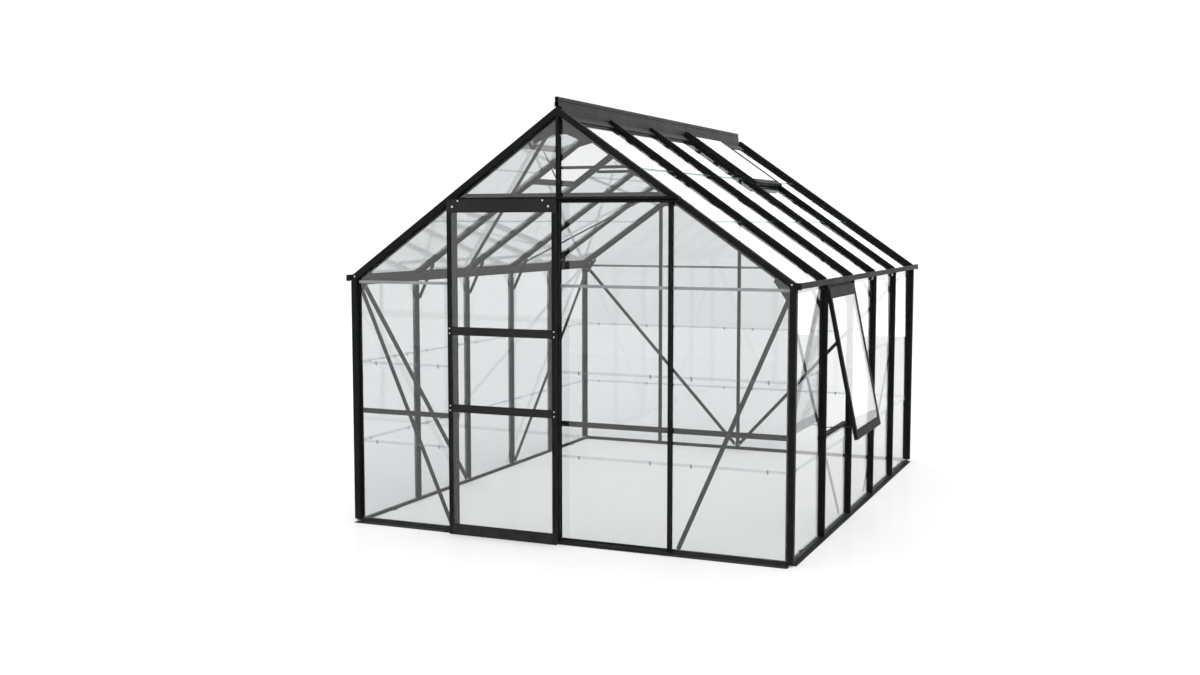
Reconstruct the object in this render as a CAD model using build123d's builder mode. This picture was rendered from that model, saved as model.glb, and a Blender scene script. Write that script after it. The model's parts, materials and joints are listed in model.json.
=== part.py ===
from build123d import *
import os
from math import asin, atan2, cos, degrees, hypot, radians, sin, tan

os.makedirs("parts", exist_ok=True)

# A walk-in glazed greenhouse with a gable roof, in millimetres.
# X runs across the gable, Y from the front gable to the rear gable, Z up.
# The origin is on the ground under the middle of the front gable's outer face.

# ---- Driving dimensions ----
bar_pitch = 622            # 610 mm horticultural glass plus a glazing bar
pane_width = 610
glass = 3                  # pane thickness
gable_bays = 4
side_bays = 5
edge_line = 29             # end glazing line to the frame's outer face
eaves_height = 1390        # outer face of the roof above the outer face of the wall
roof_pitch = 35            # degrees
seat = 30                  # frame's outer face to the plane the glass rests on
wall = 2                   # thickness of the aluminium extrusions

half_width = gable_bays * bar_pitch / 2 + edge_line
length = side_bays * bar_pitch + 2 * edge_line
slope = radians(roof_pitch)
apex_height = eaves_height + half_width * tan(slope)

gable_bar_lines = [-bar_pitch, 0, bar_pitch]
side_bar_lines = [edge_line + bar_pitch * bay for bay in range(1, side_bays)]
gable_bay_centres = [bar_pitch * (bay - 1.5) for bay in range(gable_bays)]
side_bay_centres = [edge_line + bar_pitch * (bay + 0.5) for bay in range(side_bays)]
door_bay = 1               # second gable bay from the left is the doorway
window_bay = 1             # second bay of the right wall
vent_bays = {-1: 1, 1: 3}  # roof vent bay on the left and right slopes

# Glazing bar: seat flange, inner channel with a bolt slot, outer web and snap-on cap
flange_width = 20
channel_width = 14
channel_depth = 10
bolt_slot = 6
web_thickness = 3
web_height = 25.5
cap_width = 17
cap_low, cap_high = 8, 28

# Corner section: square tube with a seat flange for each of the two walls
tube = 32
flange_reach = 16

# Wall glass courses, each pane lapping over the one below
glass_foot = 10
pane_height = 457
lap = 12
course_rise = pane_height - lap
pane_proud, pane_close = 4.0, 0.4   # outset of a pane's foot and head from the seat
strip_low, strip_high = 1350, 1366  # horizontal strip between wall and gable-top glass

# Roof glass, measured up the slope from the eaves line
roof_glass_start = 12
roof_laps = [561, 1037]
roof_glass_end = 1520
ridge_stop = 1486

sill_lip = 36              # reach of the gable sill outside the frame's outer face
side_sill_lip = 10
sill_upstand = 22
side_upstand = 12
sill_ledge = (10, 32)      # depth limits of the box under the glass
post_foot = 14
gutter_low, gutter_high = 1366, 1396
gutter_reach = 27
eaves_inset = 36           # eaves member stops short of the gable's gusset plates

# Opening sashes hinge on a round bead held in a split tube
bead_radius = 4
bead_clearance = 0.3
hinge_wall = 3.2
sash_half_width = 300
sash_stile = 24
sash_inner, sash_outer = -9, 11
sash_glass_depth = (5.5, 8.5)
sash_gap = 14              # hinge axis to the sash's top rail
stay_pivot_depth = -16
peg_depth = -34
stay_length = 256
stay_width = 16
stay_thickness = 3
pin_radius = 2.5
sill_overlap = 24          # a closed sash covers its sill by this much
pivot_above_sill = 7

window_length = 834
window_open = 11.7         # degrees
window_rails = (54, 42)
vent_length = 574
left_vent_open = 21
vent_rails = (30, 36)

# Sliding door, hung outside the front gable
door_left, door_right = -625, 18
door_front, door_back = -56, -36
door_bottom, door_top = 1, 1809
door_stile = 24
door_sheet = 2
top_rail_low = 1739
mid_rails = [(670, 713), (1086, 1131)]
bottom_rail_high = 61
track_low, track_high = 1787, 1818
track_left, track_right = -640, 680
track_depth = 30
track_wall = 2.5
roller_radius = 11
roller_lift = 0.3
axle_radius = 3
roller_xs = [-556, -57]


def z_on_roof(x, n=0.0):
    """Height of the roof plane lying n outside the roof's outer face."""
    return eaves_height + (half_width - abs(x)) * tan(slope) + n / cos(slope)


def roof_point(s, n, y=0.0, side=1):
    """Point s up the slope from the eaves and n outside the roof's outer face."""
    x = half_width - s * cos(slope) + n * sin(slope)
    return (side * x, y, eaves_height + s * sin(slope) + n * cos(slope))


def up_slope(side):
    return Vector(-side * cos(slope), 0, sin(slope))


def off_slope(side):
    return Vector(side * sin(slope), 0, cos(slope))


def section_plane(start, along, outward):
    """Plane for a section: its normal runs along the member, its y axis points outward."""
    along, outward = Vector(along), Vector(outward)
    return Plane(origin=start, x_dir=outward.cross(along), z_dir=along)


def block(plane, x, y, z, mode=Mode.ADD):
    """Rectangular block given by its limits along the plane's own axes."""
    limits = (x, y, z)
    centre = tuple((low + high) / 2 for low, high in limits)
    with Locations(plane.location * Location(centre)):
        Box(*(high - low for low, high in limits), mode=mode)


def bars(profile, start, along, outward, run):
    """A straight member of one profile."""
    extrude(profile(section_plane(start, along, outward)), amount=run)


def bar_inner(plane):
    """Seat flange and inner channel of a glazing bar."""
    with BuildSketch(plane, mode=Mode.PRIVATE) as profile:
        with Locations((0, -wall / 2)):
            Rectangle(flange_width, wall)
        with Locations((0, -(wall + channel_depth) / 2)):
            Rectangle(channel_width, channel_depth - wall)
            Rectangle(channel_width - 2 * wall, channel_depth - 3 * wall, mode=Mode.SUBTRACT)
        with Locations((0, -channel_depth + wall / 2)):
            Rectangle(bolt_slot, 2 * wall, mode=Mode.SUBTRACT)
    return profile.sketch


def bar_web(plane):
    """Web of a glazing bar, between the panes and inside the cap."""
    with BuildSketch(plane, mode=Mode.PRIVATE) as profile:
        with Locations((0, web_height / 2)):
            Rectangle(web_thickness, web_height)
    return profile.sketch


def bar_cap(plane):
    """Snap-on U-shaped cap of a glazing bar."""
    with BuildSketch(plane, mode=Mode.PRIVATE) as profile:
        with Locations((0, (cap_low + cap_high) / 2)):
            Rectangle(cap_width, cap_high - cap_low)
        with Locations((0, (cap_low + cap_high) / 2 - wall)):
            Rectangle(cap_width - 2 * wall, cap_high - cap_low, mode=Mode.SUBTRACT)
    return profile.sketch


def corner_tube(plane):
    with BuildSketch(plane, mode=Mode.PRIVATE) as profile:
        with Locations((-tube / 2, -tube / 2)):
            Rectangle(tube, tube)
            Rectangle(tube - 2 * wall, tube - 2 * wall, mode=Mode.SUBTRACT)
    return profile.sketch


def gable_flange(plane):
    with BuildSketch(plane, mode=Mode.PRIVATE) as profile:
        with Locations((-tube + wall / 2, -tube - flange_reach / 2)):
            Rectangle(wall, flange_reach)
    return profile.sketch


def side_flange(plane):
    with BuildSketch(plane, mode=Mode.PRIVATE) as profile:
        with Locations((-tube - flange_reach / 2, -tube + wall / 2)):
            Rectangle(flange_reach, wall)
    return profile.sketch


def polygon(plane, points):
    """Closed flat outline on a plane."""
    with BuildSketch(plane, mode=Mode.PRIVATE) as outline:
        with BuildLine():
            Polyline(*points, close=True)
        make_face()
    return outline.sketch


def strap(plane, start, end, width, thickness):
    """Flat strip with round ends between two points of a plane."""
    across, up = end[0] - start[0], end[1] - start[1]
    with BuildSketch(plane, mode=Mode.PRIVATE) as outline:
        with Locations(((start[0] + end[0]) / 2, (start[1] + end[1]) / 2)):
            SlotOverall(hypot(across, up) + width, width, rotation=degrees(atan2(up, across)))
    extrude(outline.sketch, amount=thickness)


def pane(foot, along, outward, run):
    """A pane that leans: its foot stands proud of the seat and its head lies on it."""
    along, outward = Vector(along), Vector(outward)
    lean = asin((pane_proud - pane_close) / run)
    leaning = along * cos(lean) - outward * sin(lean)
    facing = outward * cos(lean) + along * sin(lean)
    plane = Plane(origin=Vector(foot) + outward * pane_proud,
                  x_dir=leaning.cross(facing), z_dir=facing)
    block(plane, (-pane_width / 2, pane_width / 2), (0, run), (0, glass))


def export(part, label):
    part.label = label
    export_step(part, f"parts/{label}.step")


mid_length = Plane.XZ.offset(-length / 2)
upward = (0, 0, 1)
side_seat = half_width - seat
channel_face = side_seat - channel_depth
inner_foot = sill_upstand + 1
side_foot = side_upstand + 1
wall_bar_top = 1337.5
cap_top = gutter_low - 0.5

# ---- Sills ----
sill_foot = seat + flange_reach
ledge_top = glass_foot - wall
sill_hollow = [(sill_ledge[0] + wall, wall), (seat, wall), (seat, ledge_top - wall),
               (sill_ledge[0] + wall, ledge_top - wall)]
gable_sill_depth = sill_foot + 0.5
guide_rib = (-20, -18)     # depth limits of the rib that keeps the door's foot in


def sill(plane, run, lip, upstand):
    """Sill with a thin sloping lip, a hollow ledge under the glass, an upstand and a foot."""
    outline = [(-lip, 0), (sill_foot, 0), (sill_foot, wall), (seat + wall, wall),
               (seat + wall, upstand), (seat, upstand), (seat, ledge_top),
               (sill_ledge[0], ledge_top), (sill_ledge[0], 4), (-lip + 1.5, 3), (-lip, 1.5)]
    extrude(polygon(plane, outline), amount=run)
    extrude(polygon(plane, sill_hollow), amount=run, mode=Mode.SUBTRACT)


# section plane: x inward from the frame's outer face, y up
gable_sill_run = 2 * (half_width - tube)
lip_half = half_width - 20      # the lip runs on under the corner posts
front_section = Plane(origin=(-gable_sill_run / 2, 0, 0), x_dir=(0, 1, 0), z_dir=(1, 0, 0))
with BuildPart() as front_sill:
    sill(front_section, gable_sill_run, sill_lip, sill_upstand)
    block(Plane.XY, (-lip_half, lip_half), (-sill_lip + 1.5, 8), (0, 3))
    block(Plane.XY, (track_left, -track_left), guide_rib, (2.5, 15))
export(front_sill.part, "front_sill")

with BuildPart() as rear_sill:
    sill(front_section, gable_sill_run, sill_lip, sill_upstand)
    block(Plane.XY, (-lip_half, lip_half), (-sill_lip + 1.5, 8), (0, 3))
    mirror(about=mid_length, mode=Mode.REPLACE)
export(rear_sill.part, "rear_sill")

anchor_x = half_width - seat - 14
anchor_tab = (16, 20)      # half sizes of the plate round an anchor hole
anchor_ys = (edge_line + bar_pitch / 2, length - edge_line - bar_pitch / 2)
anchor_radius = 4
right_section = Plane(origin=(half_width, tube, 0), x_dir=(-1, 0, 0), z_dir=(0, 1, 0))
with BuildPart() as right_sill:
    sill(right_section, length - 2 * tube, side_sill_lip, side_upstand)
    for end in ((0, gable_sill_depth), (length - gable_sill_depth, length)):
        block(Plane.XY, (half_width - sill_foot - 1, side_seat - wall), end, (-1, wall + 1),
              mode=Mode.SUBTRACT)
    for y in anchor_ys:
        block(Plane.XY, (anchor_x - anchor_tab[0], side_seat), (y - anchor_tab[1], y + anchor_tab[1]),
              (0, wall))
    with Locations(*[(anchor_x, y, wall / 2) for y in anchor_ys]):
        Cylinder(anchor_radius, 3 * wall, mode=Mode.SUBTRACT)
export(right_sill.part, "right_sill")

with BuildPart() as left_sill:
    add(right_sill.part)
    mirror(about=Plane.YZ, mode=Mode.REPLACE)
export(left_sill.part, "left_sill")

# Angle brackets that join the sills inside each corner
bracket_leg = 60
bracket_z = (3, side_upstand)
with BuildPart() as sill_corner_brackets:
    corner_x, corner_y = side_seat - wall, seat + wall
    block(Plane.XY, (corner_x - 3 - bracket_leg, corner_x), (corner_y, corner_y + 3), bracket_z)
    block(Plane.XY, (corner_x - 3, corner_x), (corner_y, corner_y + bracket_leg), bracket_z)
    mirror(about=Plane.YZ)
    mirror(about=mid_length)
export(sill_corner_brackets.part, "sill_corner_brackets")

# ---- Corner posts and rafters ----
with BuildPart() as corner_posts:
    bars(corner_tube, (half_width, 0, post_foot), upward, (1, 0, 0), eaves_height - post_foot)
    split(bisect_by=Plane(origin=roof_point(0, -tube - 0.1), z_dir=off_slope(1)), keep=Keep.BOTTOM)
    for flange in (gable_flange, side_flange):
        bars(flange, (half_width, 0, inner_foot), upward, (1, 0, 0), wall_bar_top - inner_foot)
    mirror(about=Plane.YZ)
    mirror(about=mid_length)
export(corner_posts.part, "corner_posts")

rafter_overrun = 60
rafter_run = half_width / cos(slope) + 2 * rafter_overrun
with BuildPart() as rafters:
    bars(corner_tube, roof_point(-rafter_overrun, 0), up_slope(1), off_slope(1), rafter_run)
    bars(gable_flange, roof_point(18, 0), up_slope(1), off_slope(1), rafter_run)
    bars(side_flange, roof_point(46, 0), up_slope(1), off_slope(1), ridge_stop - 46)
    split(bisect_by=Plane.YZ.offset(0.2), keep=Keep.TOP)
    split(bisect_by=Plane.YZ.offset(half_width), keep=Keep.BOTTOM)
    mirror(about=Plane.YZ)
    mirror(about=mid_length)
export(rafters.part, "rafters")

# ---- Glazing bars ----
apex_channel_stop = 2130
with BuildPart() as gable_bars:
    for x in gable_bar_lines:
        channel_top = z_on_roof(abs(x) + flange_width / 2, -tube - flange_reach - 0.5)
        channel_top = min(channel_top, apex_channel_stop)
        web_top = z_on_roof(abs(x) + web_thickness, -tube - 0.5)
        bars(bar_inner, (x, seat, inner_foot), upward, (0, -1, 0), channel_top - inner_foot)
        bars(bar_web, (x, seat, glass_foot), upward, (0, -1, 0), web_top - glass_foot)
    mirror(about=mid_length)
export(gable_bars.part, "gable_bars")

with BuildPart() as side_bars:
    for y in side_bar_lines:
        bars(bar_inner, (side_seat, y, side_foot), upward, (1, 0, 0), wall_bar_top - side_foot)
        bars(bar_web, (side_seat, y, glass_foot), upward, (1, 0, 0), wall_bar_top - glass_foot)
    mirror(about=Plane.YZ)
export(side_bars.part, "side_bars")

with BuildPart() as roof_bars:
    for y in side_bar_lines:
        bars(bar_inner, roof_point(46, -seat, y), up_slope(1), off_slope(1), ridge_stop - 46)
        bars(bar_web, roof_point(roof_glass_start, -seat, y), up_slope(1), off_slope(1),
             roof_glass_end - roof_glass_start)
    mirror(about=Plane.YZ)
export(roof_bars.part, "roof_bars")

with BuildPart() as bar_caps:
    for x in gable_bar_lines:
        bars(bar_cap, (x, seat, glass_foot), upward, (0, -1, 0), apex_height - glass_foot)
    for side in (-1, 1):
        under_rafter = Plane(origin=roof_point(0, -tube - 0.3, 0, side), z_dir=off_slope(side))
        split(bisect_by=under_rafter, keep=Keep.BOTTOM)
    mirror(about=mid_length)
    for side in (-1, 1):
        for y in side_bar_lines:
            bars(bar_cap, (side * side_seat, y, glass_foot), upward, (side, 0, 0),
                 cap_top - glass_foot)
            bars(bar_cap, roof_point(roof_glass_start, -seat, y, side), up_slope(side),
                 off_slope(side), roof_glass_end - roof_glass_start)
export(bar_caps.part, "bar_caps")

# ---- Eaves gutters, end caps, ridge ----
gutter_outer = half_width + gutter_reach
seat_line = -seat
eaves_face = side_seat - 24     # inner face of the eaves member
gutter_outline = [(eaves_face, 1350), (side_seat - wall, 1350), (side_seat - wall, 1338),
                  (side_seat, 1338), (side_seat, gutter_low), (gutter_outer, gutter_low),
                  (gutter_outer, gutter_high), (gutter_outer - 4, gutter_high),
                  (gutter_outer - 4, gutter_high - wall), (gutter_outer - wall, gutter_high - wall),
                  (gutter_outer - wall, gutter_low + wall), (1249, gutter_low + wall),
                  (1249, z_on_roof(1249, seat_line)), (eaves_face, z_on_roof(eaves_face, seat_line))]
gutter_hollow = [(eaves_face + wall, 1350 + wall), (side_seat - wall, 1350 + wall),
                 (side_seat - wall, z_on_roof(side_seat, seat_line) - 2 * wall),
                 (eaves_face + wall, z_on_roof(eaves_face, seat_line) - 2 * wall)]
gutter_run = length + 8
with BuildPart() as right_gutter:
    extrude(polygon(Plane.XZ.offset(4), gutter_outline), amount=-gutter_run)
    extrude(polygon(Plane.XZ.offset(4), gutter_hollow), amount=-gutter_run, mode=Mode.SUBTRACT)
    for end in ((-10, eaves_inset), (length - eaves_inset, length + 10)):
        block(Plane.XY, (eaves_face - 5, half_width + 0.5), end, (1300, 1420), mode=Mode.SUBTRACT)
export(right_gutter.part, "right_gutter")

with BuildPart() as left_gutter:
    add(right_gutter.part)
    mirror(about=Plane.YZ, mode=Mode.REPLACE)
export(left_gutter.part, "left_gutter")

with BuildPart() as gutter_end_caps:
    for end in ((-7, -4), (length + 4, length + 7)):
        block(Plane.XY, (half_width + 0.5, gutter_outer), end, (gutter_low - 4, gutter_high))
    mirror(about=Plane.YZ)
export(gutter_end_caps.part, "gutter_end_caps")

ridge_half = 36
ridge_box_low = 2196
ridge_outline = [(0, z_on_roof(0, -seat)), (ridge_half, z_on_roof(ridge_half, -seat)),
                 (ridge_half, z_on_roof(ridge_half, -tube)), (12, z_on_roof(12, -tube)),
                 (12, ridge_box_low), (0, ridge_box_low)]
ridge_hollow = [(0, ridge_box_low + wall), (10, ridge_box_low + wall), (10, 2226), (0, 2232)]
ridge_run = length - 2 * eaves_inset
with BuildPart() as ridge_bar:
    start = Plane.XZ.offset(-eaves_inset)
    extrude(polygon(start, ridge_outline), amount=-ridge_run)
    extrude(polygon(start, ridge_hollow), amount=-ridge_run, mode=Mode.SUBTRACT)
    mirror(about=Plane.YZ)
export(ridge_bar.part, "ridge_bar")

ridge_cap_joint = side_bar_lines[2]
ridge_cap_end = 3060
cap_outline = [(0, 2332), (7, 2331), (10, 2326), (10, 2312), (8, 2310), (8, 2307), (12, 2304),
               (12, 2284), (14, 2282), (14, 2243), (12, 2243), (12, 2278), (10, 2280),
               (10, 2302), (6, 2305), (6, 2324), (0, 2328)]
ridge_wing = (1465, 1522)       # limits up the slope of the flashing over the glass heads
between_caps = bar_pitch / 2 - cap_width / 2 - 0.5
with BuildPart() as ridge_cap:
    for low, high in ((-2, ridge_cap_joint - 0.4), (ridge_cap_joint + 0.4, ridge_cap_end)):
        extrude(polygon(Plane.XZ.offset(-low), cap_outline), amount=low - high)
    wing_plane = Plane(origin=roof_point(0, 6 - seat), x_dir=(0, 1, 0), z_dir=off_slope(1))
    for y in side_bay_centres:
        block(wing_plane, (y - between_caps, min(y + between_caps, ridge_cap_end)), ridge_wing, (0, 1.5))
    block(Plane.XY, (-1, 20), (-5, tube + 0.5), (2240, apex_height + 0.4), mode=Mode.SUBTRACT)
    mirror(about=Plane.YZ)
export(ridge_cap.part, "ridge_cap")

# ---- Cross members and bracing ----
cross_depth = (seat + channel_depth + 0.5, seat + channel_depth + 20.5)
header_low, header_high = 1812, 1840
header_outline = [(0, header_low), (612, header_low), (572, header_high), (0, header_high)]
header_hollow = [(0, header_low + wall), (600, header_low + wall),
                 (566, header_high - wall), (0, header_high - wall)]
with BuildPart() as gable_headers:
    front_plane = Plane.XZ.offset(-cross_depth[0])
    hollow_plane = Plane.XZ.offset(-cross_depth[0] - wall)
    header_depth = cross_depth[1] - cross_depth[0]
    extrude(polygon(front_plane, header_outline), amount=-header_depth)
    extrude(polygon(hollow_plane, header_hollow), amount=-header_depth, mode=Mode.SUBTRACT)
    mirror(about=Plane.YZ)
    mirror(about=mid_length)
export(gable_headers.part, "gable_headers")

mid_rail_depth = (cross_depth[0], cross_depth[0] + 8)
mid_rail_height = (617, 645)
mid_rail_end = side_seat - 3
with BuildPart() as front_mid_rails:
    for span in ((-mid_rail_end, -bar_pitch + 9), (-9, mid_rail_end)):
        block(Plane.XY, span, mid_rail_depth, mid_rail_height)
        block(Plane.XY, span, (mid_rail_depth[0] + wall, mid_rail_depth[1] + 1),
              (mid_rail_height[0] + wall, mid_rail_height[1] - wall), mode=Mode.SUBTRACT)
export(front_mid_rails.part, "front_mid_rails")

brace_width = 34
gable_brace_width = 24
front_inset = 38           # between the gusset plates and the mid rails
rear_inset = seat + channel_depth + 1
front_brace = ((1226, 1312), (665, 30))
rear_brace = ((1200, 1322), (16, 40))
with BuildPart() as gable_braces:
    for side in (-1, 1):
        for inset, ends in ((front_inset, front_brace), (length - rear_inset, rear_brace)):
            top, foot = [(side * x, z) for x, z in ends]
            strap(Plane.XZ.offset(-inset), top, foot, gable_brace_width, wall)
export(gable_braces.part, "gable_braces")

side_brace_face = side_seat - 26     # clear of the window sill's inner edge
end_in = 58
front_foot, rear_foot = side_bar_lines[1] - 75, side_bar_lines[2] - 25
side_brace_top, side_brace_low = 1330, 30
with BuildPart() as side_braces:
    wall_plane = Plane.YZ.offset(side_brace_face)
    for start, end in ((end_in, front_foot), (length - end_in, rear_foot)):
        strap(wall_plane, (start, side_brace_top), (end, side_brace_low), brace_width, wall)
    mirror(about=Plane.YZ)
export(side_braces.part, "side_braces")

roof_brace_depth = -seat - channel_depth - 3
with BuildPart() as roof_braces:
    roof_plane = Plane(origin=roof_point(0, roof_brace_depth), x_dir=(0, 1, 0), z_dir=off_slope(1))
    for start, end in ((end_in + 10, front_foot), (length - end_in - 10, side_bar_lines[2])):
        strap(roof_plane, (start, 1462), (end, 62), brace_width, wall)
    mirror(about=Plane.YZ)
export(roof_braces.part, "roof_braces")

beside_bar = channel_width / 2 + 0.2
knee_foot, knee_head = (1230, 1240), (1136, 1434)
with BuildPart() as knee_braces:
    for y in side_bar_lines:
        strap(Plane.XZ.offset(-(y + beside_bar + 3)), knee_foot, knee_head, 20, 3)
    mirror(about=Plane.YZ)
export(knee_braces.part, "knee_braces")

tie_low, tie_high, tie_reach = 1990, 2007, 334
with BuildPart() as collar_ties:
    for y in side_bar_lines:
        block(Plane.XY, (-tie_reach, tie_reach), (y + beside_bar, y + beside_bar + 3),
              (tie_low, tie_high))
        block(Plane.XY, (-tie_reach, tie_reach), (y + beside_bar + 3, y + beside_bar + 12),
              (tie_low, tie_low + wall))
export(collar_ties.part, "collar_ties")

gusset_face = seat + wall
eaves_gusset = [(1239, 1305), (1239, 1366), (1219, 1383), (1165, 1421), (1150, 1400), (1217, 1305)]
apex_gusset = [(0, z_on_roof(0, -35)), (150, z_on_roof(150, -35)), (150, 2092),
               (40, 2140), (0, 2140)]
with BuildPart() as gusset_plates:
    for outline in (eaves_gusset, apex_gusset):
        extrude(polygon(Plane.XZ.offset(-gusset_face), outline), amount=-3)
    mirror(about=Plane.YZ)
    mirror(about=mid_length)
export(gusset_plates.part, "gusset_plates")

# ---- Opening sashes: hinge lines and sills ----
# In a sash's own frame x runs along the hinge, y towards it and z outward, closed.
window_hinge = (1260, side_bay_centres[window_bay], gutter_low - 8)
vent_hinge_run = 1526


def turned(plane, angle):
    """The closed frame swung outward about its hinge."""
    swing = radians(angle)
    return Plane(origin=plane.origin, x_dir=plane.x_dir,
                 z_dir=plane.z_dir * cos(swing) + plane.y_dir * sin(swing))


def end_on(plane):
    """Plane across the hinge line: x towards the hinge, y outward."""
    return Plane(origin=plane.origin, x_dir=plane.y_dir, z_dir=plane.x_dir)


def vent_frame(side):
    """Closed frame of a roof vent."""
    hinge = roof_point(vent_hinge_run, 0, side_bay_centres[vent_bays[side]], side)
    return Plane(origin=hinge, x_dir=(0, side, 0), z_dir=off_slope(side))


window_frame = Plane(origin=window_hinge, x_dir=(0, 1, 0), z_dir=(1, 0, 0))
window_seat = side_seat - window_hinge[0]
vent_seat = -seat
sashes = {
    "window": (window_frame, window_length, window_rails, window_open, window_seat),
    "left_vent": (vent_frame(-1), vent_length, vent_rails, left_vent_open, vent_seat),
    "right_vent": (vent_frame(1), vent_length, vent_rails, 0, vent_seat),
}
sill_half = bar_pitch / 2 - flange_width / 2 - 1
sash_sill_inner = -40

with BuildPart() as sash_hinge_rails:
    for frame, run, rails, opening, glass_seat in sashes.values():
        outer = bead_radius + bead_clearance + hinge_wall
        with BuildSketch(end_on(frame), mode=Mode.PRIVATE) as split_tube:
            Circle(outer)
            Circle(bead_radius + bead_clearance, mode=Mode.SUBTRACT)
            with BuildLine():
                mouth = [(-2 * outer * cos(radians(a)), 2 * outer * sin(radians(a)))
                         for a in (-24, 15, 50)]
                Polyline((0, 0), *mouth, close=True)
            make_face(mode=Mode.SUBTRACT)
        extrude(split_tube.sketch, amount=sash_half_width - 6, both=True)
export(sash_hinge_rails.part, "sash_hinge_rails")


def sash_sill(frame, run, glass_seat):
    """Sill under a sash: top plate, leg behind the fixed glass and inner leg."""
    face = -(run - sill_overlap)
    span = (-sill_half, sill_half)
    block(frame, span, (face - wall, face), (sash_sill_inner, -10.5))
    block(frame, span, (face - 30, face), (glass_seat - wall, glass_seat))
    block(frame, span, (face - 20, face), (sash_sill_inner, sash_sill_inner + wall))


with BuildPart() as sash_sills:
    for frame, run, rails, opening, glass_seat in sashes.values():
        sash_sill(frame, run, glass_seat)
export(sash_sills.part, "sash_sills")

with BuildPart() as stay_pegs:
    for frame, run, rails, opening, glass_seat in sashes.values():
        face = -(run - sill_overlap)
        with Locations(frame.location * Location((0, face + 7.5, peg_depth), (90, 0, 0))):
            Cylinder(pin_radius, 15)
export(stay_pegs.part, "stay_pegs")

# ---- Fixed glass ----
wall_courses = [glass_foot + course_rise * course for course in range(3)]
gable_top_foot = strip_high - 6
window_fixed_top = window_hinge[2] - (window_length - sill_overlap) - 16
vent_fixed_end = vent_hinge_run - (vent_length - sill_overlap) - 16


def gable_glass(x, skip_wall, top_foot):
    """Wall courses of one front gable bay and the pane above them, cut to the roof."""
    if not skip_wall:
        for foot in wall_courses:
            pane((x, seat, foot), upward, (0, -1, 0), pane_height)
    reach = half_width - (top_foot - z_on_roof(half_width, -tube - 2)) / tan(slope) - 1
    left, right = max(x - pane_width / 2, -reach), min(x + pane_width / 2, reach)
    corners = [(left, top_foot), (right, top_foot), (right, z_on_roof(right, -tube - 2)),
               (left, z_on_roof(left, -tube - 2))]
    extrude(polygon(Plane.XZ.offset(-seat + 0.5), corners), amount=glass)


with BuildPart() as front_gable_glass:
    for bay, x in enumerate(gable_bay_centres):
        is_door = bay == door_bay
        gable_glass(x, is_door, track_high - 2 if is_door else gable_top_foot)
export(front_gable_glass.part, "front_gable_glass")

with BuildPart() as rear_gable_glass:
    for x in gable_bay_centres:
        gable_glass(x, False, gable_top_foot)
    mirror(about=mid_length, mode=Mode.REPLACE)
export(rear_gable_glass.part, "rear_gable_glass")


def wall_glass(side, open_bay):
    """Courses of one side wall; an opening window leaves only the lower glass."""
    for bay, y in enumerate(side_bay_centres):
        for foot in wall_courses:
            top = foot + pane_height
            if bay == open_bay:
                top = min(top, window_fixed_top)
            if top - foot > 2 * lap:
                pane((side * side_seat, y, foot), upward, (side, 0, 0), top - foot)


with BuildPart() as right_wall_glass:
    wall_glass(1, window_bay)
export(right_wall_glass.part, "right_wall_glass")

with BuildPart() as left_wall_glass:
    wall_glass(-1, None)
export(left_wall_glass.part, "left_wall_glass")

roof_feet = [roof_glass_start] + roof_laps


def roof_glass(side):
    """Courses of one roof slope; the vent's bay stops at the vent sill."""
    for bay, y in enumerate(side_bay_centres):
        heads = [foot + lap for foot in roof_laps] + [roof_glass_end]
        for foot, head in zip(roof_feet, heads):
            if bay == vent_bays[side]:
                head = min(head, vent_fixed_end)
            if head - foot > 2 * lap:
                pane(roof_point(foot, -seat, y, side), up_slope(side), off_slope(side), head - foot)


with BuildPart() as right_roof_glass:
    roof_glass(1)
export(right_roof_glass.part, "right_roof_glass")

with BuildPart() as left_roof_glass:
    roof_glass(-1)
export(left_roof_glass.part, "left_roof_glass")

# Horizontal strips between the wall courses and the gable-top panes
strip_depth = (seat - 7.6, seat - 4)
with BuildPart() as glazing_strips:
    for x in gable_bay_centres:
        block(Plane.XY, (x - between_caps, x + between_caps), strip_depth, (strip_low, strip_high))
    mirror(about=mid_length, mode=Mode.REPLACE)
    for bay, x in enumerate(gable_bay_centres):
        if bay != door_bay:
            block(Plane.XY, (x - between_caps, x + between_caps), strip_depth, (strip_low, strip_high))
export(glazing_strips.part, "glazing_strips")

# Spring clips that carry each lapped pane on the one below
clip_us = (-200, 200)
clip_size = (12, 22, 0.8)
clip_offset = 7.3 + clip_size[2] / 2
lap_heights = wall_courses[1:]
with BuildPart() as glazing_clips:
    spots = []
    for z in [height + 3 for height in lap_heights]:
        for u in clip_us:
            for bay, x in enumerate(gable_bay_centres):
                if bay != door_bay:
                    spots.append(((x + u, seat - clip_offset, z), (1, 0, 0), (0, -1, 0)))
                spots.append(((x + u, length - seat + clip_offset, z), (-1, 0, 0), (0, 1, 0)))
            for bay, y in enumerate(side_bay_centres):
                spots.append(((-side_seat - clip_offset, y + u, z), (0, -1, 0), (-1, 0, 0)))
                if bay != window_bay:
                    spots.append(((side_seat + clip_offset, y + u, z), (0, 1, 0), (1, 0, 0)))
    with Locations(*[Plane(origin=at, x_dir=x, z_dir=out).location for at, x, out in spots]):
        Box(*clip_size)
export(glazing_clips.part, "glazing_clips")

# ---- Fasteners ----
head_radius, head_height = 5.5, 4


def heads(plane, points, radius=head_radius, height=head_height):
    """Round bolt heads standing on a plane."""
    with BuildSketch(plane, mode=Mode.PRIVATE) as spots:
        with Locations(*points):
            Circle(radius)
    extrude(spots.sketch, amount=height)


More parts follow.
